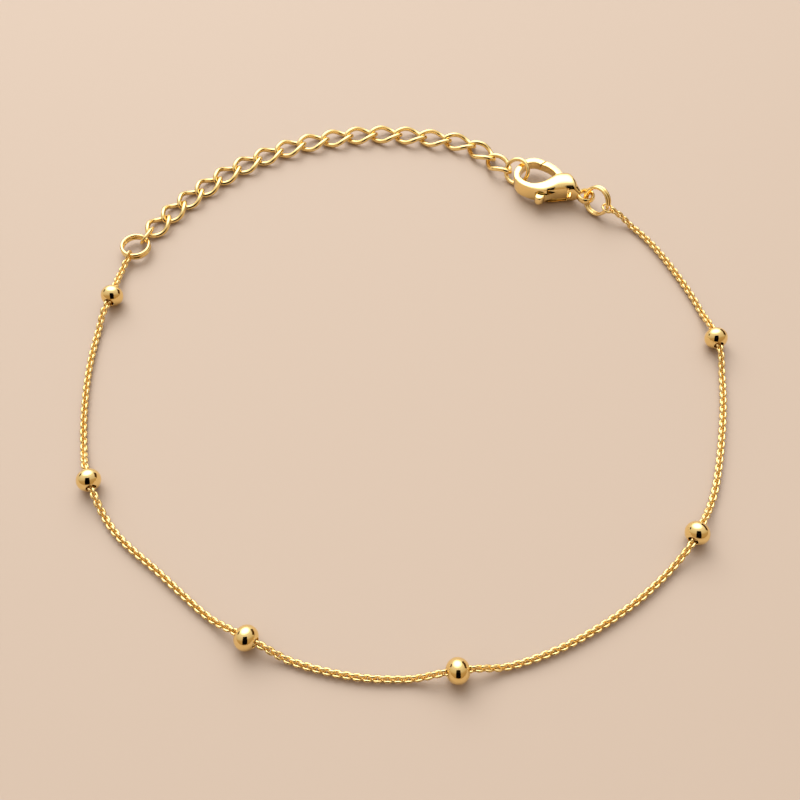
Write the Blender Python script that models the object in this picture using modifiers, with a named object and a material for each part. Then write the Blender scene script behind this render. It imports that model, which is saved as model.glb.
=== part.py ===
"""Bead chain bracelet: six drilled gold beads on a fine chain, a run of curb links to close it at any
length, and a lobster clasp. It lies on a table in a loop, as it was laid down. Metres, +Z up."""
import math

import bmesh
import bpy
from mathutils import Matrix, Vector

MM = 0.001

# Beads
BEAD_DIAMETER = 2.36 * MM
BEAD_LENGTH = 1.92 * MM
BEAD_BORE = 0.96 * MM
BEAD_RIM = 0.06 * MM  # bevel where the bore opens
BEAD_SIDES = 16

# Fine chain, which is one round tube here
CHAIN_WIDTH = 0.68 * MM
CHAIN_LEVEL = 0.36 * MM  # height of its middle above the table between beads
CHAIN_RISE = 3.4 * MM  # run over which it comes down from a bead
CHAIN_STEP = 4.4 * MM  # distance of its points between beads
CHAIN_NEAREST = 0.2 * MM  # nearest that two of its points come
CHAIN_END_GAP = 0.12 * MM  # from either end of the tube to the link that ends it
BEAD_LEVEL = BEAD_DIAMETER / 2

# Split rings, each of two turns of wire that lie side by side
RING_WIRE = 0.38 * MM
RING_TURN_GAP = 0.02 * MM  # between the two turns
RING_STEP = math.radians(15.0)  # half of the arc on which the wire goes over to its other turn
LEFT_RING_WIDTH = 3.3 * MM
LEFT_RING_LEVEL = 0.82 * MM
LEFT_RING_OPENING = math.radians(55.0)  # bearing of its step and of the wire's two ends
RIGHT_RING_WIDTH = 3.4 * MM
RIGHT_RING_LEAN = math.radians(70.0)
RIGHT_RING_HEADING = math.radians(-48.0)
RIGHT_RING_BEARING = math.radians(-40.8)  # from the clasp's eye to the ring's middle
RIGHT_RING_LEVEL = 1.7 * MM
RIGHT_RING_PLAY = 0.01 * MM  # from the middle of the eye to the middle of the ring's wire

# Links that end the fine chain on the rings
END_LINK_WIRE = 0.26 * MM
END_LINK_PLAY = 0.05 * MM  # between the link and the two turns of wire inside it
END_LINK_OFFSET = 0.05 * MM  # from the middle of the ring's wire to the middle of the link
LEFT_END_BEARING = math.radians(-110.2)  # from the ring's middle to the chain
RIGHT_END_DROP = math.radians(15.0)  # slope of the last link, down towards the chain

# Curb links of the extender
LINK_COUNT = 17
LINK_WIRE = 0.48 * MM
LINK_WIDTH = 2.6 * MM
LINK_PLAY = 0.18 * MM  # how far each link could still be drawn out of the next
LINK_TWIST = math.radians(38.0)  # of each end, out of the link's own middle
LINK_LEVEL = 0.62 * MM
LAST_LINK_LEVEL = 0.88 * MM
LAST_LINK_RISE = math.radians(8.0)  # slope of the last link, up towards the ring
LINK_GROWTH = 1.16  # last link's share of the first one's length
LINK_POINTS = 20
SMALL_LINK_LENGTH = 2.8 * MM
SMALL_LINK_WIDTH = 1.9 * MM
SMALL_LINK_WIRE = 0.36 * MM
SMALL_LINK_LEVEL = 0.9 * MM
SMALL_LINK_HEADING = math.radians(70.0)
SMALL_LINK_ROLL = math.radians(-62.0)
SMALL_LINK_DROP = math.radians(8.0)
HOOKED_RING_WIDTH = 3.2 * MM
HOOKED_RING_WIRE = 0.46 * MM
HOOKED_RING_LEVEL = 1.3 * MM
HOOKED_RING_ROLL = math.radians(50.0)
HOOKED_RING_HEADING = math.radians(-40.0)

# Clasp
CLASP_SIZE = 10.0 * MM
CLASP_THICKNESS = 2.8 * MM
CLASP_CORNER = 0.3 * MM
SLOT_HEIGHT = 1.86 * MM
NUB_SLOT_HEIGHT = 0.96 * MM
LEVER_HEIGHT = 1.74 * MM
GATE_HEIGHT = 1.0 * MM
NUB_ARM_HEIGHT = 0.8 * MM
NUB_HEIGHT = 1.0 * MM
LEVER_END_HEIGHT = 0.88 * MM  # of the small window at the lever's end
GATE_ROUNDING = 0.12 * MM
NUB_ROUNDING = 0.2 * MM
PIN_DIAMETER = 0.7 * MM
PIN_LENGTH = 2.2 * MM
PIN_PLAY = 0.05 * MM
EYE_WIRE = 0.46 * MM
EYE_WIDTH = 2.1 * MM
CLASP_HEADING = math.radians(-24.7)
EYE_PLACE = (0.874, -0.030)  # shares of the clasp's size

# Run of the fine chain over the table, from the left ring round to the right one, in millimetres.
# A point whose third value is 1 is where a bead sits. Its two ends come from the rings.
CHAIN_RUN = (
    (-30.6, 11.4, 0),
    (-30.93, 7.91, 1),
    (-31.8, 4.6, 0),
    (-32.1, -2.0, 0),
    (-31.4, -9.5, 0),
    (-29.97, -14.73, 1),
    (-27.0, -19.8, 0),
    (-22.3, -24.1, 0),
    (-17.6, -28.3, 0),
    (-13.92, -30.66, 1),
    (-9.4, -32.7, 0),
    (-4.4, -33.9, 0),
    (0.3, -34.1, 0),
    (4.33, -33.66, 1),
    (9.7, -32.7, 0),
    (15.1, -30.4, 0),
    (20.4, -26.9, 0),
    (24.8, -22.8, 0),
    (26.63, -20.39, 1),
    (29.2, -15.3, 0),
    (31.2, -7.2, 0),
    (32.0, -1.0, 0),
    (31.81, 2.24, 1),
    (30.5, 8.0, 0),
    (27.6, 14.8, 0),
    (24.8, 18.8, 0),
)

# Run of the extender from the left ring to the clasp, in millimetres.
LINK_RUN = (
    (-27.35, 18.5),
    (-24.4, 22.5),
    (-18.9, 27.7),
    (-11.8, 31.5),
    (-3.3, 33.1),
    (5.3, 32.0),
    (8.7, 30.3),
    (10.8, 27.8),
)

LEFT_RING_PLACE = (-29.45, 15.15)
SMALL_LINK_PLACE = (-28.35, 16.72)
HOOKED_RING_PLACE = (12.75, 26.25)
CLASP_PLACE = (12.41, 26.16)  # of the hook's outer end

# Middle of the box that the loop lies in, which is the part's origin.
LOOP_MIDDLE = (0.26, -0.23)


def on_table(place, height=0.0):
    """A place over the table, given in millimetres, at a height in metres."""
    return Vector(((place[0] - LOOP_MIDDLE[0]) * MM, (place[1] - LOOP_MIDDLE[1]) * MM, height))


def collection(name):
    made = bpy.data.collections.new(name)
    bpy.context.scene.collection.children.link(made)
    return made


for old in list(bpy.data.objects):
    bpy.data.objects.remove(old)
PARTS = collection("bead chain bracelet")
CUTTERS = collection("cutters")


def gold(name, colour):
    made = bpy.data.materials.new(name)
    made.use_nodes = True
    shader = made.node_tree.nodes["Principled BSDF"]
    shader.inputs["Base Color"].default_value = (*colour, 1.0)
    shader.inputs["Metallic"].default_value = 1.0
    shader.inputs["Roughness"].default_value = 0.2
    return made


def place(name, data, colour):
    """A node of the part, with a material of its own."""
    made = bpy.data.objects.new(name, data)
    PARTS.objects.link(made)
    data.materials.append(gold(name, colour))
    return made


def cutter(name, data):
    made = bpy.data.objects.new(name, data)
    CUTTERS.objects.link(made)
    made.hide_render = True
    made.display_type = "WIRE"
    return made


def mesh_of(name, build):
    """A mesh that build() draws with bmesh, its faces turned outwards."""
    bm = bmesh.new()
    build(bm)
    bmesh.ops.recalc_face_normals(bm, faces=bm.faces)
    data = bpy.data.meshes.new(name)
    bm.to_mesh(data)
    bm.free()
    return data


def combine(target, tool, operation):
    step = target.modifiers.new(tool.name, "BOOLEAN")
    step.operation = operation
    step.solver = "EXACT"
    step.object = tool


def through(points, closeness=16):
    """A smooth line through chosen points: short straight pieces of a spline, as plan points."""
    line = []
    first = points[0] * 2 - points[1]
    last = points[-1] * 2 - points[-2]
    held = [first, *points, last]
    for a, b, c, d in zip(held, held[1:], held[2:], held[3:]):
        for k in range(closeness):
            t = k / closeness
            line.append(
                0.5 * (2 * b + (c - a) * t + (2 * a - 5 * b + 4 * c - d) * t * t + (3 * b - a - 3 * c + d) * t**3)
            )
    line.append(points[-1])
    return line


class Run:
    """A line over the table that is asked for places and headings by distance along it."""

    def __init__(self, points):
        self.line = through(points)
        self.far = [0.0]
        for a, b in zip(self.line, self.line[1:]):
            self.far.append(self.far[-1] + (b - a).length)
        self.length = self.far[-1]

    def at(self, distance):
        for k, far in enumerate(self.far[1:]):
            if distance <= far or k == len(self.far) - 2:
                a, b = self.line[k], self.line[k + 1]
                return a + (b - a) * ((distance - self.far[k]) / (far - self.far[k]))

    def heading(self, distance, reach):
        ahead = self.at(min(distance + reach, self.length)) - self.at(max(distance - reach, 0.0))
        return math.atan2(ahead.y, ahead.x)


def wire(name, points, diameter, colour, closed=False):
    """A round wire or tube through points, with filled ends."""
    data = bpy.data.curves.new(name, "CURVE")
    data.dimensions = "3D"
    data.resolution_u = 1
    data.render_resolution_u = 0
    data.bevel_depth = diameter / 2
    data.bevel_resolution = 2
    data.use_fill_caps = not closed
    line = data.splines.new("POLY")
    line.points.add(len(points) - 1)
    for held, point in zip(line.points, points):
        held.co = (*point, 1.0)
    line.use_cyclic_u = closed
    return place(name, data, colour)


def oval(length, width, twist=0.0, count=LINK_POINTS):
    """The middle line of a link along X: each end is turned out of its plane by the twist, one each way."""
    points = []
    for k in range(count):
        turn = 2 * math.pi * (k + 0.5) / count
        x = length / 2 * math.cos(turn)
        y = width / 2 * math.sin(turn)
        lean = -twist * math.cos(turn)
        points.append(Vector((x, y * math.cos(lean), y * math.sin(lean))))
    return points


def posed(points, centre, heading, roll=0.0, drop=0.0):
    """Points rolled about their own length, sloped down, turned to the heading and moved to the centre."""
    turn = Matrix.Rotation(heading, 3, "Z") @ Matrix.Rotation(drop, 3, "Y") @ Matrix.Rotation(roll, 3, "X")
    return [turn @ p + centre for p in points]


# Places that follow from the clasp's eye and the rings


CLASP_TURN = Matrix.Rotation(CLASP_HEADING, 4, "Z")
CLASP_FRAME = Matrix.Translation(on_table(CLASP_PLACE, CLASP_THICKNESS / 2)) @ CLASP_TURN


def clasp_point(along, across, up):
    """A point of the clasp: two shares of its size, from the hook's outer end, and a height from its middle."""
    return CLASP_FRAME @ Vector((along * CLASP_SIZE, across * CLASP_SIZE, up))


def beside(middle, width, bearing, offset):
    """A place over the table on the middle of a ring's wire, or offset outside it, on a bearing."""
    out = (width - RING_WIRE) / 2 + offset
    return Vector((middle.x + out * math.cos(bearing), middle.y + out * math.sin(bearing), 0.0))


ring_height = RING_WIRE * 2 + RING_TURN_GAP
end_link_width = ring_height + (END_LINK_WIRE + END_LINK_PLAY) * 2
left_ring = on_table(LEFT_RING_PLACE)
right_ring = beside(clasp_point(*EYE_PLACE, 0.0), RIGHT_RING_WIDTH, RIGHT_RING_BEARING, RIGHT_RING_PLAY)
left_end = beside(left_ring, LEFT_RING_WIDTH, LEFT_END_BEARING, END_LINK_OFFSET)
right_end = beside(right_ring, RIGHT_RING_WIDTH, RIGHT_RING_HEADING, END_LINK_OFFSET)

# Fine chain and beads


chain_run = Run([left_end, *[on_table(point) for point in CHAIN_RUN], right_end])
bead_spots = [chain_run.far[k * 16] for k, point in enumerate(CHAIN_RUN, start=1) if point[2]]


def chain_height(distance):
    """The chain goes level through a bead's bore and comes down on either side, as it does from its ends."""
    held = [(spot, BEAD_LEVEL, BEAD_LENGTH * 0.55) for spot in bead_spots]
    held += [(0.0, LEFT_RING_LEVEL, 0.0), (chain_run.length, RIGHT_RING_LEVEL, 0.0)]
    height = CHAIN_LEVEL
    for spot, level, flat in held:
        share = min(max((abs(distance - spot) - flat) / CHAIN_RISE, 0.0), 1.0)
        height += (level - CHAIN_LEVEL) * (1 - share * share * (3 - 2 * share))
    return height


def chain_stops():
    """Distances of the tube's points: close together beside a bead, where it rises, wider between."""
    close = [BEAD_LENGTH * 0.5 + CHAIN_RISE * share for share in (0.0, 0.3, 0.6, 1.0)]
    first = end_link_width / 2 + CHAIN_END_GAP
    last = chain_run.length - first
    stops = [first, first + CHAIN_RISE / 2, last - CHAIN_RISE / 2, last]
    edges = [first + CHAIN_RISE]
    for spot in bead_spots:
        stops += [spot + side * step for side in (-1, 1) for step in close]
        edges += [spot - close[-1], spot + close[-1]]
    edges.append(last - CHAIN_RISE)
    for a, b in zip(edges[::2], edges[1::2]):
        pieces = max(1, round((b - a) / CHAIN_STEP))
        stops += [a + (b - a) * k / pieces for k in range(pieces + 1)]
    kept = [first]
    for stop in sorted(stops):
        if stop - kept[-1] > CHAIN_NEAREST and stop <= last:
            kept.append(stop)
    return kept


tube = []
for stop in chain_stops():
    spot = chain_run.at(stop)
    tube.append(Vector((spot.x, spot.y, chain_height(stop))))
wire("fine_chain", tube, CHAIN_WIDTH, (0.86, 0.62, 0.26))


def bead_profile(bm):
    """Half of a bead's section at +X, closed: the round outside, then the bore back."""
    steps = 10
    half = BEAD_LENGTH / 2
    bore = BEAD_BORE / 2
    reach = math.acos(min(1.0, (bore + BEAD_RIM) / (BEAD_DIAMETER / 2)))
    corners = []
    for k in range(steps + 1):
        turn = reach - 2 * reach * k / steps
        corners.append((BEAD_DIAMETER / 2 * math.cos(turn), half * math.sin(turn) / math.sin(reach)))
    corners.append((bore, -half + BEAD_RIM))
    corners.append((bore, half - BEAD_RIM))
    verts = [bm.verts.new((x, 0.0, z)) for x, z in corners]
    for a, b in zip(verts, verts[1:] + verts[:1]):
        bm.edges.new((a, b))


for number, spot in enumerate(bead_spots, start=1):
    name = f"bead_{number}"
    bead = place(name, mesh_of(name, bead_profile), (0.93, 0.68, 0.3))
    turned = bead.modifiers.new("turned", "SCREW")
    turned.steps = BEAD_SIDES
    turned.render_steps = BEAD_SIDES
    turned.use_merge_vertices = True
    turned.merge_threshold = 0.00001
    centre = chain_run.at(spot)
    heading = chain_run.heading(spot, BEAD_LENGTH)
    bead.matrix_world = (
        Matrix.Translation((centre.x, centre.y, BEAD_LEVEL))
        @ Matrix.Rotation(heading, 4, "Z")
        @ Matrix.Rotation(math.pi / 2, 4, "Y")
    )

# Rings and the small links at the chain's ends


def ring(name, width, wire_width, centre, heading, colour, roll=0.0, drop=0.0):
    """A closed ring of one turn."""
    points = oval(width - wire_width, width - wire_width, count=24)
    return wire(name, posed(points, centre, heading, roll, drop), wire_width, colour, closed=True)


def split_ring(name, width, centre, heading, colour, roll=0.0):
    """A ring of two turns of wire: one turn, a step up by a wire's thickness, and the second turn on it."""
    radius = (width - RING_WIRE) / 2
    lift = RING_WIRE + RING_TURN_GAP
    pieces = 44
    points = []
    for k in range(pieces + 1):
        turn = RING_STEP + (4 * math.pi - 2 * RING_STEP) * k / pieces
        share = min(max((turn - 2 * math.pi) / RING_STEP / 2 + 0.5, 0.0), 1.0)
        level = lift * (share * share * (3 - 2 * share) - 0.5)
        points.append(Vector((radius * math.cos(turn), radius * math.sin(turn), level)))
    return wire(name, posed(points, centre, heading, roll), RING_WIRE, colour)


split_ring(
    "jump_ring_left",
    LEFT_RING_WIDTH,
    left_ring + Vector((0.0, 0.0, LEFT_RING_LEVEL)),
    LEFT_RING_OPENING,
    (0.95, 0.72, 0.34),
)
split_ring(
    "jump_ring_right",
    RIGHT_RING_WIDTH,
    right_ring + Vector((0.0, 0.0, RIGHT_RING_LEVEL)),
    RIGHT_RING_HEADING,
    (0.95, 0.71, 0.33),
    roll=RIGHT_RING_LEAN,
)
ring(
    "chain_end_link_left",
    end_link_width,
    END_LINK_WIRE,
    left_end + Vector((0.0, 0.0, LEFT_RING_LEVEL)),
    chain_run.heading(0.0, MM),
    (0.9, 0.66, 0.3),
    roll=math.pi / 2,
)
ring(
    "chain_end_link_right",
    end_link_width,
    END_LINK_WIRE,
    right_end + Vector((0.0, 0.0, RIGHT_RING_LEVEL)),
    chain_run.heading(chain_run.length, MM) + math.pi,
    (0.9, 0.65, 0.29),
    drop=RIGHT_END_DROP,
)

# Extender: the small link on the left jump ring, the curb links, and the ring that the clasp holds


def link(name, length, width, wire_width, centre, heading, colour, twist=0.0, roll=0.0, drop=0.0):
    middle = oval(length - wire_width, width - wire_width, twist)
    return wire(name, posed(middle, Vector(centre), heading, roll, drop), wire_width, colour, closed=True)


link_run = Run([on_table(point) for point in LINK_RUN])
pitches = [1 + (LINK_GROWTH - 1) * k / (LINK_COUNT - 1) for k in range(LINK_COUNT)]
between = [(a + b) / 2 for a, b in zip(pitches, pitches[1:])]
first_pitch = link_run.length / sum(between)
spot = 0.0
for number, share in enumerate(pitches, start=1):
    pitch = first_pitch * share
    centre = link_run.at(spot)
    link(
        f"extender_link_{number:02d}",
        pitch + LINK_WIRE * 2 + LINK_PLAY,
        LINK_WIDTH,
        LINK_WIRE,
        (centre.x, centre.y, LINK_LEVEL if number < LINK_COUNT else LAST_LINK_LEVEL),
        link_run.heading(spot, first_pitch / 2),
        (0.95, 0.73 - 0.004 * number, 0.35),
        twist=LINK_TWIST,
        drop=0.0 if number < LINK_COUNT else -LAST_LINK_RISE,
    )
    if number < LINK_COUNT:
        spot += first_pitch * between[number - 1]
link(
    "extender_link_00",
    SMALL_LINK_LENGTH,
    SMALL_LINK_WIDTH,
    SMALL_LINK_WIRE,
    on_table(SMALL_LINK_PLACE, SMALL_LINK_LEVEL),
    SMALL_LINK_HEADING,
    (0.93, 0.7, 0.33),
    roll=SMALL_LINK_ROLL,
    drop=SMALL_LINK_DROP,
)
ring(
    "extender_end_ring",
    HOOKED_RING_WIDTH,
    HOOKED_RING_WIRE,
    on_table(HOOKED_RING_PLACE, HOOKED_RING_LEVEL),
    HOOKED_RING_HEADING,
    (0.95, 0.69, 0.31),
    roll=HOOKED_RING_ROLL,
)

# Clasp. Its tables are shares of the clasp's size: along the clasp from the hook's outer end, then
# across it, away from the lever's nub.

# Each row is a section of the body: its inner edge, its outer edge, and its height as a share of the
# clasp's thickness. The rows go from the hook's tip round the hook, through the body, to the neck.
BODY_ROWS = (
    (0.250, 0.184, 0.287, 0.260, 0.37),
    (0.215, 0.188, 0.235, 0.267, 0.38),
    (0.175, 0.180, 0.170, 0.262, 0.39),
    (0.133, 0.152, 0.104, 0.228, 0.40),
    (0.103, 0.106, 0.053, 0.162, 0.42),
    (0.088, 0.045, 0.025, 0.075, 0.43),
    (0.086, -0.015, 0.018, -0.015, 0.44),
    (0.095, -0.070, 0.032, -0.095, 0.47),
    (0.120, -0.118, 0.070, -0.167, 0.53),
    (0.165, -0.155, 0.132, -0.225, 0.61),
    (0.225, -0.168, 0.215, -0.254, 0.63),
    (0.290, -0.155, 0.300, -0.258, 0.65),
    (0.350, -0.115, 0.385, -0.250, 0.69),
    (0.400, -0.060, 0.455, -0.235, 0.78),
    (0.438, 0.005, 0.515, -0.212, 0.90),
    (0.468, 0.065, 0.560, -0.190, 0.98),
    (0.505, 0.112, 0.600, -0.165, 1.0),
    (0.550, 0.142, 0.640, -0.140, 1.0),
    (0.602, 0.152, 0.678, -0.115, 1.0),
    (0.655, 0.118, 0.712, -0.095, 0.98),
    (0.705, 0.072, 0.745, -0.080, 0.88),
    (0.745, 0.036, 0.768, -0.076, 0.66),
    (0.790, 0.006, 0.806, -0.072, 0.40),
)
PIVOT = (0.590, 0.055)
SLOT_OUTLINE = (
    (0.420, -0.015),
    (0.470, -0.030),
    (0.490, -0.090),
    (0.474, -0.150),
    (0.474, -0.330),
    (0.682, -0.330),
    (0.682, -0.090),
    (0.690, -0.080),
    (0.704, -0.066),
    (0.718, -0.050),
    (0.724, -0.030),
    (0.700, 0.020),
    (0.685, 0.100),
    (0.685, 0.300),
    (0.420, 0.300),
)
WINDOW_OUTLINE = (
    (0.670, -0.330),
    (0.728, -0.330),
    (0.728, -0.070),
    (0.700, -0.055),
    (0.670, -0.070),
)
NUB_SLOT_OUTLINE = (
    (0.505, -0.120),
    (0.460, -0.172),
    (0.385, -0.208),
    (0.352, -0.214),
    (0.352, -0.360),
    (0.505, -0.360),
)
PLATE_OUTLINE = (
    (0.498, -0.090),
    (0.482, -0.165),
    (0.490, -0.186),
    (0.545, -0.160),
    (0.610, -0.121),
    (0.674, -0.080),
    (0.668, -0.040),
    (0.660, 0.010),
    (0.666, 0.060),
    (0.655, 0.105),
    (0.620, 0.132),
    (0.575, 0.136),
    (0.535, 0.115),
    (0.510, 0.070),
)
GATE_OUTLINE = (
    (0.258, 0.184),
    (0.295, 0.260),
    (0.345, 0.256),
    (0.420, 0.232),
    (0.485, 0.194),
    (0.545, 0.140),
    (0.590, 0.100),
    (0.560, 0.050),
    (0.515, 0.070),
    (0.470, 0.108),
    (0.415, 0.150),
    (0.345, 0.176),
    (0.300, 0.183),
)
NUB_ARM_OUTLINE = (
    (0.520, -0.120),
    (0.475, -0.176),
    (0.392, -0.216),
    (0.362, -0.222),
    (0.364, -0.270),
    (0.460, -0.262),
    (0.520, -0.202),
    (0.560, -0.150),
)
NUB_OUTLINE = (
    (0.364, -0.240),
    (0.366, -0.300),
    (0.382, -0.330),
    (0.412, -0.342),
    (0.445, -0.332),
    (0.464, -0.300),
    (0.462, -0.245),
)


def section(row):
    """A rectangle with rounded corners, upright on the line from its inner edge to its outer edge."""
    inner = Vector((row[0], row[1])) * CLASP_SIZE
    outer = Vector((row[2], row[3])) * CLASP_SIZE
    half_width = (outer - inner).length / 2
    half_height = row[4] * CLASP_THICKNESS / 2
    corner = min(CLASP_CORNER, half_width * 0.9, half_height * 0.9)
    middle = (inner + outer) / 2
    across = (outer - inner).normalized()
    ring = []
    for side, level, start in ((1, 1, 0), (-1, 1, 90), (-1, -1, 180), (1, -1, 270)):
        for step in range(4):
            turn = math.radians(start + 30 * step)
            wide = side * (half_width - corner) + corner * math.cos(turn)
            high = level * (half_height - corner) + corner * math.sin(turn)
            spot = middle + across * wide
            ring.append(CLASP_FRAME @ Vector((spot.x, spot.y, high)))
    return ring


def body_skin(bm):
    rings = [[bm.verts.new(p) for p in section(row)] for row in BODY_ROWS]
    for a, b in zip(rings, rings[1:]):
        for k in range(len(a)):
            n = (k + 1) % len(a)
            bm.faces.new((a[k], a[n], b[n], b[k]))
    bm.faces.new(rings[0])
    bm.faces.new(rings[-1])


def plate(outline, height, rounding=0.0):
    """What builds a flat plate over an outline, its upper and lower edges rounded."""

    def build(bm):
        low = [bm.verts.new(clasp_point(x, y, -height / 2)) for x, y in outline]
        face = bm.faces.new(low)
        up = bmesh.ops.extrude_face_region(bm, geom=[face])
        top = [v for v in up["geom"] if isinstance(v, bmesh.types.BMVert)]
        bmesh.ops.translate(bm, verts=top, vec=(0.0, 0.0, height))
        if rounding:
            flat = [f for f in bm.faces if abs(f.normal.z) > 0.9]
            edges = {e for f in flat for e in f.edges}
            bmesh.ops.bevel(
                bm, geom=list(edges), offset=rounding, segments=2, profile=0.5, affect="EDGES", material=-1
            )

    return build


def post(diameter, length, sides=16):
    """What builds a round post through the lever's pivot."""

    def build(bm):
        bmesh.ops.create_cone(
            bm,
            cap_ends=True,
            segments=sides,
            radius1=diameter / 2,
            radius2=diameter / 2,
            depth=length,
            matrix=Matrix.Translation(clasp_point(*PIVOT, 0.0)),
        )

    return build


def eye_skin(bm):
    """The eye: a ring of round wire, lying flat."""
    middle = clasp_point(*EYE_PLACE, 0.0)
    sides = 20
    around = 8
    radius = (EYE_WIDTH - EYE_WIRE) / 2
    grid = []
    for k in range(sides):
        turn = 2 * math.pi * k / sides
        out = Vector((math.cos(turn), math.sin(turn), 0.0))
        ring = []
        for j in range(around):
            lean = 2 * math.pi * (j + 0.5) / around
            ring.append(bm.verts.new(middle + out * (radius + EYE_WIRE / 2 * math.cos(lean))
                                     + Vector((0, 0, EYE_WIRE * 0.8 * math.sin(lean)))))
        grid.append(ring)
    for a, b in zip(grid, grid[1:] + grid[:1]):
        for j in range(around):
            n = (j + 1) % around
            bm.faces.new((a[j], a[n], b[n], b[j]))


body = place("clasp_body", mesh_of("clasp_body", body_skin), (0.94, 0.7, 0.3))
combine(body, cutter("eye", mesh_of("eye", eye_skin)), "UNION")
combine(body, cutter("slot", mesh_of("slot", plate(SLOT_OUTLINE, SLOT_HEIGHT))), "DIFFERENCE")
combine(body, cutter("window", mesh_of("window", plate(WINDOW_OUTLINE, LEVER_END_HEIGHT))), "DIFFERENCE")
combine(body, cutter("nub_slot", mesh_of("nub_slot", plate(NUB_SLOT_OUTLINE, NUB_SLOT_HEIGHT))), "DIFFERENCE")
combine(body, cutter("pin_seat", mesh_of("pin_seat", post(PIN_DIAMETER + PIN_PLAY * 2, PIN_LENGTH + PIN_PLAY * 2))),
        "DIFFERENCE")

lever = place("clasp_lever", mesh_of("clasp_lever", plate(PLATE_OUTLINE, LEVER_HEIGHT)), (0.96, 0.74, 0.36))
combine(lever, cutter("gate", mesh_of("gate", plate(GATE_OUTLINE, GATE_HEIGHT, GATE_ROUNDING))), "UNION")
combine(lever, cutter("nub_arm", mesh_of("nub_arm", plate(NUB_ARM_OUTLINE, NUB_ARM_HEIGHT))), "UNION")
combine(lever, cutter("nub", mesh_of("nub", plate(NUB_OUTLINE, NUB_HEIGHT, NUB_ROUNDING))), "UNION")
combine(lever, cutter("pin_bore", mesh_of("pin_bore", post(PIN_DIAMETER + PIN_PLAY * 2, CLASP_THICKNESS * 2))),
        "DIFFERENCE")

place("clasp_pin", mesh_of("clasp_pin", post(PIN_DIAMETER, PIN_LENGTH)), (0.8, 0.58, 0.24))
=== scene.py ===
"""Bead chain bracelet: its beads, fine chain, curb links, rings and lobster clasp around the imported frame."""
import math

import bmesh
import bpy
from bpy.props import FloatProperty, FloatVectorProperty, IntProperty, PointerProperty
from mathutils import Matrix, Vector


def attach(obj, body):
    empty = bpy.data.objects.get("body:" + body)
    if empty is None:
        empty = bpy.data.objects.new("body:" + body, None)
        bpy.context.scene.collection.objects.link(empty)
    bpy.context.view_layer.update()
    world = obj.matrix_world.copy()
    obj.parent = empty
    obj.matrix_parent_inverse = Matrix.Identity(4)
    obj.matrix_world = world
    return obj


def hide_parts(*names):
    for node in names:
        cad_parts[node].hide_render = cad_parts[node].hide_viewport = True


bl_info = {
    "name": "Bead Chain Bracelet",
    "version": (1, 0, 0),
    "blender": (4, 5, 0),
    "location": "View3D > Sidebar > Bracelet",
    "description": "Gold bracelet of drilled beads on a fine chain, with curb links and a lobster clasp",
    "category": "Object",
}

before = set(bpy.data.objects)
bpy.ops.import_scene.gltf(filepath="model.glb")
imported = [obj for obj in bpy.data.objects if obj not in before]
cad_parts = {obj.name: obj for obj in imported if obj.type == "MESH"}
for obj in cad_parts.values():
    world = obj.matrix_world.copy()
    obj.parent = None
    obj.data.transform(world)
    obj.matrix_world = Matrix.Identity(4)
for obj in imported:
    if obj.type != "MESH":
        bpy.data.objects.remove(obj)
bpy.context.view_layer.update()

MM = 0.001
BODY = "bracelet"
LEVER = "lever"

# Run of the fine chain over the table, in millimetres; a point whose third value is 1 is where a bead sits.
CHAIN_RUN = (
    (-30.6, 11.4, 0),
    (-30.93, 7.91, 1),
    (-31.8, 4.6, 0),
    (-32.1, -2.0, 0),
    (-31.4, -9.5, 0),
    (-29.97, -14.73, 1),
    (-27.0, -19.8, 0),
    (-22.3, -24.1, 0),
    (-17.6, -28.3, 0),
    (-13.92, -30.66, 1),
    (-9.4, -32.7, 0),
    (-4.4, -33.9, 0),
    (0.3, -34.1, 0),
    (4.33, -33.66, 1),
    (9.7, -32.7, 0),
    (15.1, -30.4, 0),
    (20.4, -26.9, 0),
    (24.8, -22.8, 0),
    (26.63, -20.39, 1),
    (29.2, -15.3, 0),
    (31.2, -7.2, 0),
    (32.0, -1.0, 0),
    (31.81, 2.24, 1),
    (30.5, 8.0, 0),
    (27.6, 14.8, 0),
    (24.8, 18.8, 0),
)

# Run of the extender from the left ring to the clasp, in millimetres.
LINK_RUN = (
    (-27.35, 18.5),
    (-24.4, 22.5),
    (-18.9, 27.7),
    (-11.8, 31.5),
    (-3.3, 33.1),
    (5.3, 32.0),
    (8.7, 30.3),
    (10.8, 27.8),
)
LOOP_MIDDLE = (0.26, -0.23)
# The way that the corner between the fine chain's two rows of links faces.
CHAIN_FACES = Vector((0.0, -0.574, 0.819))
LEFT_RING_PLACE = (-29.45, 15.15)
SMALL_LINK_PLACE = (-28.35, 16.72)
HOOKED_RING_PLACE = (12.75, 26.25)
CLASP_PLACE = (12.41, 26.16)

CLASP_SIZE = 10.0 * MM
CLASP_THICKNESS = 2.8 * MM
CLASP_HEADING = math.radians(-24.7)
RIGHT_RING_BEARING = math.radians(-40.8)
RIGHT_RING_HEADING = math.radians(-48.0)
RIGHT_RING_PLAY = 0.01 * MM
LEFT_RING_OPENING = math.radians(55.0)
LEFT_END_BEARING = math.radians(-110.2)
END_LINK_OFFSET = 0.05 * MM
RIGHT_END_DROP = math.radians(15.0)
HOOKED_RING_HEADING = math.radians(-40.0)
SMALL_LINK_HEADING = math.radians(70.0)
SMALL_LINK_ROLL = math.radians(-62.0)
SMALL_LINK_DROP = math.radians(8.0)
SPLINE_STEPS = 16

PIN_PLAY = 0.1 * MM
PIN_SEAT = 2.3 * MM
PLATE_ROUNDING = 0.1 * MM
GATE_ROUNDING = 0.1 * MM
NUB_ROUNDING = 0.2 * MM

CAMERA_PLACE = (-0.00086, -0.07192, 0.09633)
CAMERA_TILT = math.radians(35.0)
CAMERA_LENS = 52.92
GLOW_FROM = (-0.12, 0.66, 0.74)

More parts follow.
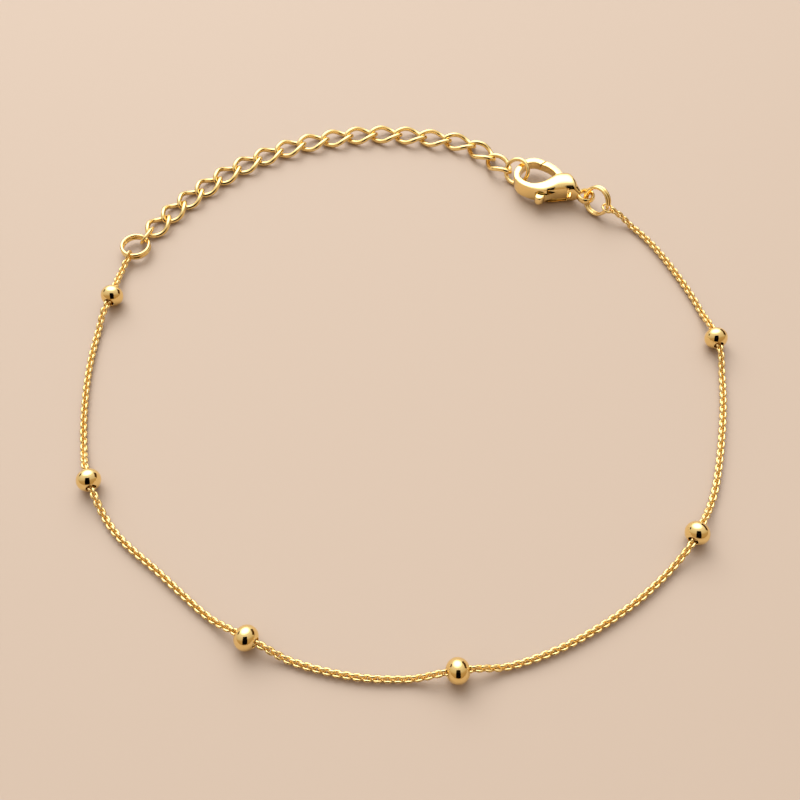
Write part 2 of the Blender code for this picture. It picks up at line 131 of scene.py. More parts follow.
# Sections of the clasp's body, from the hook's tip round the hook and through the body to the neck: inner
# edge, outer edge, height as a share of the thickness, and how square the section is (2 is an ellipse).
BODY_ROWS = (
    (0.250, 0.184, 0.287, 0.260, 0.37, 8.0),
    (0.215, 0.188, 0.235, 0.267, 0.38, 8.0),
    (0.175, 0.180, 0.170, 0.262, 0.39, 8.0),
    (0.133, 0.152, 0.104, 0.228, 0.40, 8.0),
    (0.103, 0.106, 0.053, 0.162, 0.42, 8.0),
    (0.088, 0.045, 0.025, 0.075, 0.43, 8.0),
    (0.086, -0.015, 0.018, -0.015, 0.44, 8.0),
    (0.095, -0.070, 0.032, -0.095, 0.47, 8.0),
    (0.120, -0.118, 0.070, -0.167, 0.53, 7.5),
    (0.165, -0.155, 0.132, -0.225, 0.61, 7.0),
    (0.225, -0.168, 0.215, -0.254, 0.63, 6.5),
    (0.290, -0.155, 0.300, -0.258, 0.65, 6.0),
    (0.350, -0.115, 0.385, -0.250, 0.69, 5.2),
    (0.400, -0.060, 0.455, -0.235, 0.78, 4.4),
    (0.438, 0.005, 0.515, -0.212, 0.90, 3.6),
    (0.468, 0.065, 0.560, -0.190, 0.98, 3.1),
    (0.505, 0.112, 0.600, -0.165, 1.0, 2.8),
    (0.550, 0.142, 0.640, -0.140, 1.0, 2.7),
    (0.602, 0.152, 0.678, -0.115, 1.0, 2.7),
    (0.655, 0.118, 0.712, -0.095, 0.98, 2.7),
    (0.705, 0.072, 0.745, -0.080, 0.88, 2.8),
    (0.745, 0.036, 0.768, -0.076, 0.66, 3.0),
    (0.790, 0.006, 0.806, -0.072, 0.40, 3.2),
)
EYE_PLACE = (0.874, -0.030)
PIVOT = (0.590, 0.055)
SLOT_OUTLINE = (
    (0.420, -0.015),
    (0.470, -0.030),
    (0.490, -0.090),
    (0.474, -0.150),
    (0.474, -0.330),
    (0.682, -0.330),
    (0.682, -0.090),
    (0.690, -0.080),
    (0.704, -0.066),
    (0.718, -0.050),
    (0.724, -0.030),
    (0.700, 0.020),
    (0.685, 0.100),
    (0.685, 0.300),
    (0.420, 0.300),
)
WINDOW_OUTLINE = (
    (0.670, -0.330),
    (0.728, -0.330),
    (0.728, -0.070),
    (0.700, -0.055),
    (0.670, -0.070),
)
NUB_SLOT_OUTLINE = (
    (0.505, -0.120),
    (0.460, -0.172),
    (0.385, -0.208),
    (0.352, -0.214),
    (0.352, -0.360),
    (0.505, -0.360),
)
PLATE_OUTLINE = (
    (0.498, -0.090),
    (0.482, -0.165),
    (0.490, -0.186),
    (0.545, -0.160),
    (0.610, -0.121),
    (0.674, -0.080),
    (0.668, -0.040),
    (0.660, 0.010),
    (0.666, 0.060),
    (0.655, 0.105),
    (0.620, 0.132),
    (0.575, 0.136),
    (0.535, 0.115),
    (0.510, 0.070),
)
GATE_OUTLINE = (
    (0.258, 0.184),
    (0.295, 0.260),
    (0.345, 0.256),
    (0.420, 0.232),
    (0.485, 0.194),
    (0.545, 0.140),
    (0.590, 0.100),
    (0.560, 0.050),
    (0.515, 0.070),
    (0.470, 0.108),
    (0.415, 0.150),
    (0.345, 0.176),
    (0.300, 0.183),
)
NUB_ARM_OUTLINE = (
    (0.520, -0.120),
    (0.475, -0.176),
    (0.392, -0.216),
    (0.362, -0.222),
    (0.364, -0.270),
    (0.460, -0.262),
    (0.520, -0.202),
    (0.560, -0.150),
)
NUB_OUTLINE = (
    (0.364, -0.240),
    (0.366, -0.300),
    (0.382, -0.330),
    (0.412, -0.342),
    (0.445, -0.332),
    (0.464, -0.300),
    (0.462, -0.245),
)
EXTENDER_NODES = [f"extender_link_{number:02d}" for number in range(18)]


class BeadSizes(bpy.types.PropertyGroup):
    diameter: FloatProperty(
        name="Diameter", description="Across a bead, square to its bore", default=2.36 * MM, unit="LENGTH"
    )
    length: FloatProperty(name="Length", description="Along the bore", default=1.92 * MM, unit="LENGTH")
    bore: FloatProperty(
        name="Bore", description="Diameter of the drilled hole", default=0.96 * MM, unit="LENGTH"
    )
    rim: FloatProperty(
        name="Rim", description="Rounding where the bore opens", default=0.05 * MM, unit="LENGTH"
    )


class ChainSizes(bpy.types.PropertyGroup):
    side_wire: FloatProperty(
        name="Side wire",
        description="Thickness of a fine link's two sides",
        default=0.26 * MM,
        unit="LENGTH",
    )
    end_wire: FloatProperty(
        name="End wire", description="Thickness of a fine link's two ends", default=0.2 * MM, unit="LENGTH"
    )
    width: FloatProperty(name="Width", description="Across a fine link", default=0.8 * MM, unit="LENGTH")
    length: FloatProperty(name="Length", description="Along a fine link", default=0.86 * MM, unit="LENGTH")
    square: FloatProperty(
        name="Square",
        description="Shape of a fine link, from 1 for an oval down to 0 for a box",
        default=0.6,
    )
    pitch: FloatProperty(
        name="Pitch", description="From one fine link to the next", default=0.44 * MM, unit="LENGTH"
    )
    level: FloatProperty(
        name="Level",
        description="Height of the chain's middle between beads",
        default=0.43 * MM,
        unit="LENGTH",
    )
    first: FloatProperty(
        name="First link",
        description="From the middle of an end link to the first fine link",
        default=0.64 * MM,
        unit="LENGTH",
    )
    rise: FloatProperty(
        name="Rise",
        description="Run over which the chain comes down from a bead",
        default=3.4 * MM,
        unit="LENGTH",
    )


class RingSizes(bpy.types.PropertyGroup):
    wire: FloatProperty(
        name="Wire", description="Thickness of a split ring's wire", default=0.38 * MM, unit="LENGTH"
    )
    turn_gap: FloatProperty(
        name="Turn gap",
        description="Between the two turns of a split ring",
        default=0.02 * MM,
        unit="LENGTH",
    )
    step: FloatProperty(
        name="Step",
        description="Half of the arc on which the wire changes turns",
        default=math.radians(15),
        subtype="ANGLE",
    )
    left_width: FloatProperty(
        name="Left width", description="Across the left ring", default=3.3 * MM, unit="LENGTH"
    )
    left_level: FloatProperty(
        name="Left level", description="Height of the left ring's middle", default=0.82 * MM, unit="LENGTH"
    )
    right_width: FloatProperty(
        name="Right width", description="Across the right ring", default=3.4 * MM, unit="LENGTH"
    )
    right_level: FloatProperty(
        name="Right level", description="Height of the right ring's middle", default=1.7 * MM, unit="LENGTH"
    )
    right_lean: FloatProperty(
        name="Right lean",
        description="How far the right ring stands up",
        default=math.radians(70),
        subtype="ANGLE",
    )
    end_wire: FloatProperty(
        name="End wire",
        description="Thickness of the links that end the chain",
        default=0.26 * MM,
        unit="LENGTH",
    )
    end_play: FloatProperty(
        name="End play",
        description="Between such a link and the wire inside it",
        default=0.05 * MM,
        unit="LENGTH",
    )
    hooked_wire: FloatProperty(
        name="Hooked wire",
        description="Thickness of the ring that the clasp holds",
        default=0.46 * MM,
        unit="LENGTH",
    )
    hooked_width: FloatProperty(
        name="Hooked width",
        description="Across the ring that the clasp holds",
        default=3.2 * MM,
        unit="LENGTH",
    )
    hooked_level: FloatProperty(
        name="Hooked level", description="Height of that ring's middle", default=1.3 * MM, unit="LENGTH"
    )
    hooked_lean: FloatProperty(
        name="Hooked lean",
        description="How far that ring stands up",
        default=math.radians(50),
        subtype="ANGLE",
    )


class ExtenderSizes(bpy.types.PropertyGroup):
    count: IntProperty(name="Links", description="How many curb links there are", default=17, min=2)
    wire: FloatProperty(
        name="Wire", description="Thickness of a curb link's wire", default=0.48 * MM, unit="LENGTH"
    )
    width: FloatProperty(name="Width", description="Across a curb link", default=2.6 * MM, unit="LENGTH")
    play: FloatProperty(
        name="Play",
        description="How far a link could be drawn out of the next",
        default=0.18 * MM,
        unit="LENGTH",
    )
    twist: FloatProperty(
        name="Twist",
        description="Turn of each end out of the link's middle",
        default=math.radians(38),
        subtype="ANGLE",
    )
    straight: FloatProperty(
        name="Straight",
        description="How far a link's two sides are drawn straight",
        default=0.04,
        min=0.0,
        max=0.1,
    )
    swell: FloatProperty(
        name="Swell",
        description="Thickness that a link is drawn with, as a share of its wire",
        default=1.08,
    )
    level: FloatProperty(
        name="Level", description="Height of the links' middle", default=0.62 * MM, unit="LENGTH"
    )
    last_level: FloatProperty(
        name="Last level", description="Height of the last link's middle", default=0.88 * MM, unit="LENGTH"
    )
    last_rise: FloatProperty(
        name="Last rise",
        description="Slope of the last link up to its ring",
        default=math.radians(8),
        subtype="ANGLE",
    )
    growth: FloatProperty(
        name="Growth", description="The last link's share of the first one's length", default=1.16
    )
    small_wire: FloatProperty(
        name="Small wire",
        description="Thickness of the small link's wire",
        default=0.36 * MM,
        unit="LENGTH",
    )
    small_width: FloatProperty(
        name="Small width", description="Across the small link", default=1.9 * MM, unit="LENGTH"
    )
    small_length: FloatProperty(
        name="Small length", description="Along the small link", default=2.8 * MM, unit="LENGTH"
    )
    small_level: FloatProperty(
        name="Small level", description="Height of the small link's middle", default=0.9 * MM, unit="LENGTH"
    )


class ClaspSizes(bpy.types.PropertyGroup):
    slot: FloatProperty(
        name="Slot", description="Height of the lever's slot", default=1.86 * MM, unit="LENGTH"
    )
    nub_slot: FloatProperty(
        name="Nub slot", description="Height of the nub's slot", default=0.96 * MM, unit="LENGTH"
    )
    lever: FloatProperty(
        name="Lever", description="Height of the lever's middle", default=1.74 * MM, unit="LENGTH"
    )
    gate: FloatProperty(name="Gate", description="Height of the gate", default=1.0 * MM, unit="LENGTH")
    nub_arm: FloatProperty(
        name="Nub arm", description="Height of the nub's arm", default=0.8 * MM, unit="LENGTH"
    )
    nub: FloatProperty(name="Nub", description="Height of the nub", default=1.0 * MM, unit="LENGTH")
    window: FloatProperty(
        name="Window",
        description="Height of the window at the lever's end",
        default=0.88 * MM,
        unit="LENGTH",
    )
    eye_wire: FloatProperty(
        name="Eye wire", description="Thickness of the eye's ring", default=0.46 * MM, unit="LENGTH"
    )
    eye_width: FloatProperty(
        name="Eye width", description="Across the eye", default=2.1 * MM, unit="LENGTH"
    )
    pin: FloatProperty(
        name="Pin", description="Diameter of the lever's pin", default=0.7 * MM, unit="LENGTH"
    )


class GoldColours(bpy.types.PropertyGroup):
    bright: FloatVectorProperty(
        name="Bright gold",
        description="Colour of the polished plating",
        subtype="COLOR",
        default=(1.0, 0.78, 0.36),
    )
    deep: FloatVectorProperty(
        name="Deep gold",
        description="Colour where the plating is thicker",
        subtype="COLOR",
        default=(0.97, 0.7, 0.27),
    )
    floor: FloatVectorProperty(
        name="Table",
        description="Colour of the plain table top",
        subtype="COLOR",
        default=(0.47, 0.375, 0.3),
    )


# Places and runs


def on_table(place, height=0.0):
    """A place over the table, given in millimetres, at a height in metres."""
    return Vector(((place[0] - LOOP_MIDDLE[0]) * MM, (place[1] - LOOP_MIDDLE[1]) * MM, height))


def spline(a, b, c, d, t):
    """A place on the smooth curve from b to c, which a and d lie beside, t being its share of the way."""
    return 0.5 * (2 * b + (c - a) * t + (2 * a - 5 * b + 4 * c - d) * t * t + (3 * b - a - 3 * c + d) * t**3)


def through(points, closeness=SPLINE_STEPS):
    """A smooth line through chosen points, as short straight pieces of a spline."""
    line = []
    held = [points[0] * 2 - points[1], *points, points[-1] * 2 - points[-2]]
    for a, b, c, d in zip(held, held[1:], held[2:], held[3:]):
        line += [spline(a, b, c, d, k / closeness) for k in range(closeness)]
    line.append(points[-1])
    return line


class Run:
    """A line that is asked for places and directions by distance along it."""

    def __init__(self, line):
        self.line = line
        self.far = [0.0]
        for a, b in zip(self.line, self.line[1:]):
            self.far.append(self.far[-1] + (b - a).length)
        self.length = self.far[-1]

    def at(self, distance):
        for k, far in enumerate(self.far[1:]):
            if distance <= far or k == len(self.far) - 2:
                a, b = self.line[k], self.line[k + 1]
                return a + (b - a) * ((distance - self.far[k]) / (far - self.far[k]))

    def ahead(self, distance, reach):
        before, after = self.at(max(distance - reach, 0.0)), self.at(min(distance + reach, self.length))
        return (after - before).normalized()

    def heading(self, distance, reach):
        way = self.ahead(distance, reach)
        return math.atan2(way.y, way.x)


CLASP_MIDDLE = on_table(CLASP_PLACE, CLASP_THICKNESS / 2)
CLASP_FRAME = Matrix.Translation(CLASP_MIDDLE) @ Matrix.Rotation(CLASP_HEADING, 4, "Z")


def clasp_point(along, across, up):
    return CLASP_FRAME @ Vector((along * CLASP_SIZE, across * CLASP_SIZE, up))


def beside(middle, out, bearing):
    return Vector((middle.x + out * math.cos(bearing), middle.y + out * math.sin(bearing), 0.0))


def ring_places(sizes):
    """The middles of the two split rings and of the links that end the chain on them, over the table."""
    left = on_table(LEFT_RING_PLACE)
    eye_middle, out = clasp_point(*EYE_PLACE, 0.0), (sizes.right_width - sizes.wire) / 2
    right = beside(eye_middle, out + RIGHT_RING_PLAY, RIGHT_RING_BEARING)
    left_end = beside(left, (sizes.left_width - sizes.wire) / 2 + END_LINK_OFFSET, LEFT_END_BEARING)
    right_end = beside(right, (sizes.right_width - sizes.wire) / 2 + END_LINK_OFFSET, RIGHT_RING_HEADING)
    return left, right, left_end, right_end


def chain_line(scene):
    """The fine chain's run over the table and the distances along it at which the beads sit."""
    left_end, right_end = ring_places(scene.bracelet_rings)[2:]
    run = Run(through([left_end, *[on_table(point) for point in CHAIN_RUN], right_end]))
    return run, [run.far[k * SPLINE_STEPS] for k, point in enumerate(CHAIN_RUN, start=1) if point[2]]


link_run = Run(through([on_table(point) for point in LINK_RUN]))


def placed(centre, heading, roll=0.0, drop=0.0):
    """Rolled about its own length, sloped down, turned to the heading and moved to the centre."""
    return (
        Matrix.Translation(centre)
        @ Matrix.Rotation(heading, 4, "Z")
        @ Matrix.Rotation(drop, 4, "Y")
        @ Matrix.Rotation(roll, 4, "X")
    )


# Modelling


def facing(middle, along, upward):
    """A frame whose Z goes along the wire and whose Y is as near as can be to upward."""
    along = along.normalized()
    side = upward.cross(along).normalized()
    up = along.cross(side)
    turn = Matrix((side, up, along)).transposed().to_4x4()
    return Matrix.Translation(middle) @ turn


def torus(bm, width, wire, steps, sides, matrix):
    """A ring of round wire: its section, spun all the way round."""
    made = bmesh.ops.create_circle(
        bm,
        segments=sides,
        radius=wire / 2,
        matrix=Matrix.Translation(((width - wire) / 2, 0.0, 0.0)) @ Matrix.Rotation(math.pi / 2, 4, "X"),
    )
    start = made["verts"]
    edges = list({edge for vert in start for edge in vert.link_edges})
    before = set(bm.verts) - set(start)
    bmesh.ops.spin(
        bm, geom=start + edges, cent=(0, 0, 0), axis=(0, 0, 1), angle=2 * math.pi, steps=steps, use_merge=True
    )
    verts = [vert for vert in bm.verts if vert not in before]
    bmesh.ops.transform(bm, matrix=matrix, verts=verts)
    return verts


def wire_along(bm, stations, matrix, sides=12, closed=True):
    """Round wire through stations: each is a middle, the way ahead, a way up and a thickness."""
    loops = []
    for middle, way, upward, thickness in stations:
        made = bmesh.ops.create_circle(
            bm, segments=sides, radius=thickness / 2, matrix=matrix @ facing(middle, way, upward)
        )
        loops.append({edge for vert in made["verts"] for edge in vert.link_edges})
    pairs = zip(loops, loops[1:] + loops[:1]) if closed else zip(loops, loops[1:])
    for a, b in pairs:
        bmesh.ops.bridge_loops(bm, edges=list(a | b))
    if not closed:
        bmesh.ops.edgeloop_fill(bm, edges=list(loops[0]))
        bmesh.ops.edgeloop_fill(bm, edges=list(loops[-1]))


def split_ring(bm, width, sizes, matrix, pieces=110):
    """Two turns of wire: one turn, a step up by a wire's thickness, and the second turn on it."""
    radius = (width - sizes.wire) / 2
    stations = []
    for k in range(pieces + 1):
        turn = sizes.step + (4 * math.pi - 2 * sizes.step) * k / pieces
        share = min(max((turn - 2 * math.pi) / sizes.step / 2 + 0.5, 0.0), 1.0)
        level = (sizes.wire + sizes.turn_gap) * (share * share * (3 - 2 * share) - 0.5)
        slope = (sizes.wire + sizes.turn_gap) * 3 * share * (1 - share) / sizes.step
        middle = Vector((radius * math.cos(turn), radius * math.sin(turn), level))
        way = Vector((-radius * math.sin(turn), radius * math.cos(turn), slope))
        stations.append((middle, way, Vector((0.0, 0.0, 1.0)), sizes.wire))
    wire_along(bm, stations, matrix, closed=False)


def curb_link(bm, length, width, wire, twist, matrix, swell=1.0, straight=0.0, stations=40, sides=12):
    """A link of round wire on an oval whose two ends are turned out of its plane, one each way."""
    held = []
    far, across, oval = (length - wire) / 2, (width - wire) / 2, 1.0 - straight
    for k in range(stations):
        turn = 2 * math.pi * k / stations
        lean = -twist * math.cos(turn)
        slope = twist * math.sin(turn)
        x = far * (oval * math.cos(turn) + straight * math.cos(3 * turn))
        y = across * (oval * math.sin(turn) - straight * math.sin(3 * turn))
        along = -far * (oval * math.sin(turn) + 3 * straight * math.sin(3 * turn))
        out = across * (oval * math.cos(turn) - 3 * straight * math.cos(3 * turn))
        middle = Vector((x, y * math.cos(lean), y * math.sin(lean)))
        way = Vector(
            (
                along,
                out * math.cos(lean) - y * math.sin(lean) * slope,
                out * math.sin(lean) + y * math.cos(lean) * slope,
            )
        )
        held.append((middle, way, Vector((0.0, -math.sin(lean), math.cos(lean))), wire * swell))
    wire_along(bm, held, matrix, sides)


def finished(name, bm, material, nodes, body=BODY, sharp=40.0):
    """The piece made of a bmesh: faces out, smooth but for its real edges, riding on its body."""
    bmesh.ops.recalc_face_normals(bm, faces=bm.faces)
    data = bpy.data.meshes.new(name)
    bm.to_mesh(data)
    bm.free()
    data.shade_smooth()
    data.set_sharp_from_angle(angle=math.radians(sharp))
    piece = bpy.data.objects.new(name, data)
    bpy.context.scene.collection.objects.link(piece)
    data.materials.append(material)
    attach(piece, body)
    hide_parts(*nodes)
    return piece


# Materials


def socket(group, name, kind, way, value=None):
    made = group.interface.new_socket(name=name, in_out=way, socket_type=kind)
    if value is not None:
        made.default_value = value


def polish_group():
    """Slow changes of tone in the plating, and the faint haze and hairlines of wear."""
    name = "plating polish"
    if name in bpy.data.node_groups:
        return bpy.data.node_groups[name]
    group = bpy.data.node_groups.new(name, "ShaderNodeTree")
    socket(group, "Bright", "NodeSocketColor", "INPUT", (1.0, 0.8, 0.4, 1.0))
    socket(group, "Deep", "NodeSocketColor", "INPUT", (0.9, 0.6, 0.2, 1.0))
    socket(group, "Smooth", "NodeSocketFloat", "INPUT", 0.06)
    socket(group, "Hazy", "NodeSocketFloat", "INPUT", 0.2)
    socket(group, "Tone size", "NodeSocketFloat", "INPUT", 300.0)
    socket(group, "Wear size", "NodeSocketFloat", "INPUT", 3000.0)
    socket(group, "Colour", "NodeSocketColor", "OUTPUT")
    socket(group, "Roughness", "NodeSocketFloat", "OUTPUT")
    socket(group, "Height", "NodeSocketFloat", "OUTPUT")
    nodes, links = group.nodes, group.links
    given = nodes.new("NodeGroupInput")
    out = nodes.new("NodeGroupOutput")
    place = nodes.new("ShaderNodeTexCoord")
    tone = nodes.new("ShaderNodeTexNoise")
    tone.inputs["Detail"].default_value = 2.0
    wear = nodes.new("ShaderNodeTexNoise")
    wear.inputs["Detail"].default_value = 5.0
    wear.inputs["Roughness"].default_value = 0.65
    stretch = nodes.new("ShaderNodeMapping")
    stretch.inputs["Scale"].default_value = (1.0, 0.12, 1.0)
    stretch.inputs["Rotation"].default_value = (0.3, 0.2, 0.6)
    hairs = nodes.new("ShaderNodeTexNoise")
    hairs.inputs["Detail"].default_value = 1.0
    mix = nodes.new("ShaderNodeMix")
    mix.data_type = "RGBA"
    span = nodes.new("ShaderNodeMapRange")
    span.inputs["From Min"].default_value = 0.38
    span.inputs["From Max"].default_value = 0.66
    add = nodes.new("ShaderNodeMath")
    add.operation = "MULTIPLY_ADD"
    add.inputs[1].default_value = 0.6
    links.new(place.outputs["Object"], tone.inputs["Vector"])
    links.new(place.outputs["Object"], wear.inputs["Vector"])
    links.new(place.outputs["Object"], stretch.inputs["Vector"])
    links.new(stretch.outputs["Vector"], hairs.inputs["Vector"])
    links.new(given.outputs["Tone size"], tone.inputs["Scale"])
    links.new(given.outputs["Wear size"], wear.inputs["Scale"])
    links.new(given.outputs["Wear size"], hairs.inputs["Scale"])
    links.new(tone.outputs["Fac"], mix.inputs["Factor"])
    links.new(given.outputs["Bright"], mix.inputs["A"])
    links.new(given.outputs["Deep"], mix.inputs["B"])
    links.new(wear.outputs["Fac"], span.inputs["Value"])
    links.new(given.outputs["Smooth"], span.inputs["To Min"])
    links.new(given.outputs["Hazy"], span.inputs["To Max"])
    links.new(hairs.outputs["Fac"], add.inputs[0])
    links.new(wear.outputs["Fac"], add.inputs[2])
    links.new(mix.outputs["Result"], out.inputs["Colour"])
    links.new(span.outputs["Result"], out.inputs["Roughness"])
    links.new(add.outputs["Value"], out.inputs["Height"])
    return group


def gold(name, bright, deep, smooth, hazy, wear_size, relief):
    """Polished gold plating: smooth and hazy are its two roughnesses, relief the depth of its wear."""
    made = bpy.data.materials.new(name)
    made.use_nodes = True
    nodes, links = made.node_tree.nodes, made.node_tree.links
    shader = nodes["Principled BSDF"]
    shader.inputs["Metallic"].default_value = 1.0
    shader.inputs["IOR"].default_value = 1.5
    polish = nodes.new("ShaderNodeGroup")
    polish.node_tree = polish_group()
    polish.inputs["Bright"].default_value = (*bright, 1.0)
    polish.inputs["Deep"].default_value = (*deep, 1.0)
    polish.inputs["Smooth"].default_value = smooth
    polish.inputs["Hazy"].default_value = hazy
    polish.inputs["Wear size"].default_value = wear_size
    bump = nodes.new("ShaderNodeBump")
    bump.inputs["Strength"].default_value = 0.5
    bump.inputs["Distance"].default_value = relief
    links.new(polish.outputs["Colour"], shader.inputs["Base Color"])
    links.new(polish.outputs["Roughness"], shader.inputs["Roughness"])
    links.new(polish.outputs["Height"], bump.inputs["Height"])
    links.new(bump.outputs["Normal"], shader.inputs["Normal"])
    return made


# Pieces


def chain_height(scene, run, spots, distance):
    """The chain goes level through a bead's bore and comes down on either side, as it does from its ends."""
    sizes, beads, rings = scene.bracelet_chain, scene.bracelet_beads, scene.bracelet_rings
    held = [(spot, beads.diameter / 2, beads.length * 0.55) for spot in spots]
    held += [(0.0, rings.left_level, 0.0), (run.length, rings.right_level, 0.0)]
    height = sizes.level
    for spot, level, flat in held:
        share = min(max((abs(distance - spot) - flat) / sizes.rise, 0.0), 1.0)
        height += (level - sizes.level) * (1 - share * share * (3 - 2 * share))
    return height


class BRACELET_OT_fine_chain(bpy.types.Operator):
    """Lays the fine chain link by link, each turned a quarter from the last, through the beads"""

    bl_idname = "bracelet.fine_chain"
    bl_label = "Fine Chain"

    def execute(self, context):
        sizes = context.scene.bracelet_chain
        colours = context.scene.bracelet_colours
        pattern = bpy.data.meshes.new("fine link")
        bm = bmesh.new()
        held = []
        reach, across = (sizes.length - sizes.end_wire) / 2, (sizes.width - sizes.side_wire) / 2
        stations, beside_it = 14, 0.2
        for k in range(stations):
            turn = 2 * math.pi * k / stations
            middle, before, after = (
                Vector(
                    (
                        reach * math.copysign(abs(math.cos(at)) ** sizes.square, math.cos(at)),
                        across * math.copysign(abs(math.sin(at)) ** sizes.square, math.sin(at)),
                        0.0,
                    )
                )
                for at in (turn, turn - beside_it, turn + beside_it)
            )
            thickness = sizes.end_wire + (sizes.side_wire - sizes.end_wire) * math.sin(turn) ** 2
            held.append((middle, after - before, Vector((0.0, 0.0, 1.0)), thickness))
        wire_along(bm, held, Matrix.Identity(4), 6)
        bmesh.ops.recalc_face_normals(bm, faces=bm.faces)
        bm.to_mesh(pattern)
        bm.free()
        run, spots = chain_line(context.scene)
        steps = 1400
        line = []
        for k in range(steps + 1):
            far = run.length * k / steps
            spot = run.at(far)
            line.append(Vector((spot.x, spot.y, chain_height(context.scene, run, spots, far))))
        lifted = Run(line)
        count = round((lifted.length - 2 * sizes.first) / sizes.pitch) + 1
        pitch = (lifted.length - 2 * sizes.first) / (count - 1)
        bm = bmesh.new()
        for k in range(count):
            far = sizes.first + pitch * k
            way = lifted.ahead(far, pitch * 0.5)
            sway = 5 * math.sin(k * 0.11)
            turn = math.radians(45 + sway) + (math.pi / 2 if k % 2 else 0.0)
            side = CHAIN_FACES.cross(way).normalized()
            stand = Matrix((way, side, way.cross(side))).transposed().to_4x4()
            before = len(bm.verts)
            bm.from_mesh(pattern)
            bm.verts.ensure_lookup_table()
            matrix = Matrix.Translation(lifted.at(far)) @ stand @ Matrix.Rotation(turn, 4, "X")
            bmesh.ops.transform(bm, matrix=matrix, verts=bm.verts[before:])
        bpy.data.meshes.remove(pattern)
        metal = gold(
            "fine chain gold", colours.bright, colours.deep,
            smooth=0.1, hazy=0.3, wear_size=4000.0, relief=0.004 * MM,
        )
        finished("fine_chain_links", bm, metal, ["fine_chain"], sharp=180.0)
        return {"FINISHED"}


class BRACELET_OT_beads(bpy.types.Operator):
    """Turns the drilled beads and threads them on the chain"""

    bl_idname = "bracelet.beads"
    bl_label = "Beads"

    def execute(self, context):
        sizes = context.scene.bracelet_beads
        colours = context.scene.bracelet_colours
        bm = bmesh.new()
        radius, half, bore = sizes.diameter / 2, sizes.length / 2, sizes.bore / 2
        reach = math.acos(min(1.0, (bore + sizes.rim) / radius))
        steps = 20
        corners = []
        for k in range(steps + 1):
            turn = reach - 2 * reach * k / steps
            corners.append((radius * math.cos(turn), half * math.sin(turn) / math.sin(reach)))
        corners.append((bore + sizes.rim * 0.3, -half + sizes.rim * 0.3))
        corners.append((bore, -half + sizes.rim))
        corners.append((bore, half - sizes.rim))
        corners.append((bore + sizes.rim * 0.3, half - sizes.rim * 0.3))
        run, spots = chain_line(context.scene)
        for spot in spots:
            centre = run.at(spot)
            matrix = placed((centre.x, centre.y, radius), run.heading(spot, sizes.length))
            matrix = matrix @ Matrix.Rotation(math.pi / 2, 4, "Y")
            before = set(bm.verts)
            profile = [bm.verts.new((x, 0.0, z)) for x, z in corners]
            edges = [bm.edges.new(pair) for pair in zip(profile, profile[1:] + profile[:1])]
            bmesh.ops.spin(
                bm,
                geom=profile + edges,
                cent=(0, 0, 0),
                axis=(0, 0, 1),
                angle=2 * math.pi,
                steps=48,
                use_merge=True,
            )
            bmesh.ops.transform(bm, matrix=matrix, verts=[vert for vert in bm.verts if vert not in before])
        metal = gold(
            "bead gold", colours.bright, colours.deep,
            smooth=0.05, hazy=0.12, wear_size=2500.0, relief=0.002 * MM,
        )
        finished("round_beads", bm, metal, [f"bead_{number}" for number in range(1, 7)])
        return {"FINISHED"}


class BRACELET_OT_rings(bpy.types.Operator):
    """Bends the two jump rings, the ring that the clasp holds and the small links at the chain's ends"""

    bl_idname = "bracelet.rings"
    bl_label = "Rings"

    def execute(self, context):
        sizes = context.scene.bracelet_rings
        colours = context.scene.bracelet_colours
        left, right, left_end, right_end = ring_places(sizes)
        run = chain_line(context.scene)[0]
        low = Vector((0.0, 0.0, sizes.left_level))
        high = Vector((0.0, 0.0, sizes.right_level))
        end_width = sizes.wire * 2 + sizes.turn_gap + (sizes.end_wire + sizes.end_play) * 2
        bm = bmesh.new()
        split_ring(bm, sizes.left_width, sizes, placed(left + low, LEFT_RING_OPENING))
        split_ring(bm, sizes.right_width, sizes, placed(right + high, RIGHT_RING_HEADING, sizes.right_lean))
        hooked_middle = on_table(HOOKED_RING_PLACE, sizes.hooked_level)
        hooked = placed(hooked_middle, HOOKED_RING_HEADING, sizes.hooked_lean)
        torus(bm, sizes.hooked_width, sizes.hooked_wire, 56, 14, hooked)
        standing = placed(left_end + low, run.heading(0.0, MM), math.pi / 2)
        lying = placed(right_end + high, run.heading(run.length, MM) + math.pi, drop=RIGHT_END_DROP)
        for matrix in (standing, lying):
            torus(bm, end_width, sizes.end_wire, 40, 12, matrix)
        nodes = [
            "jump_ring_left",
            "jump_ring_right",
            "extender_end_ring",
            "chain_end_link_left",
            "chain_end_link_right",
        ]
        metal = gold(
            "ring gold", colours.bright, colours.deep,
            smooth=0.07, hazy=0.2, wear_size=2200.0, relief=0.004 * MM,
        )
        finished("round_rings", bm, metal, nodes)
        return {"FINISHED"}


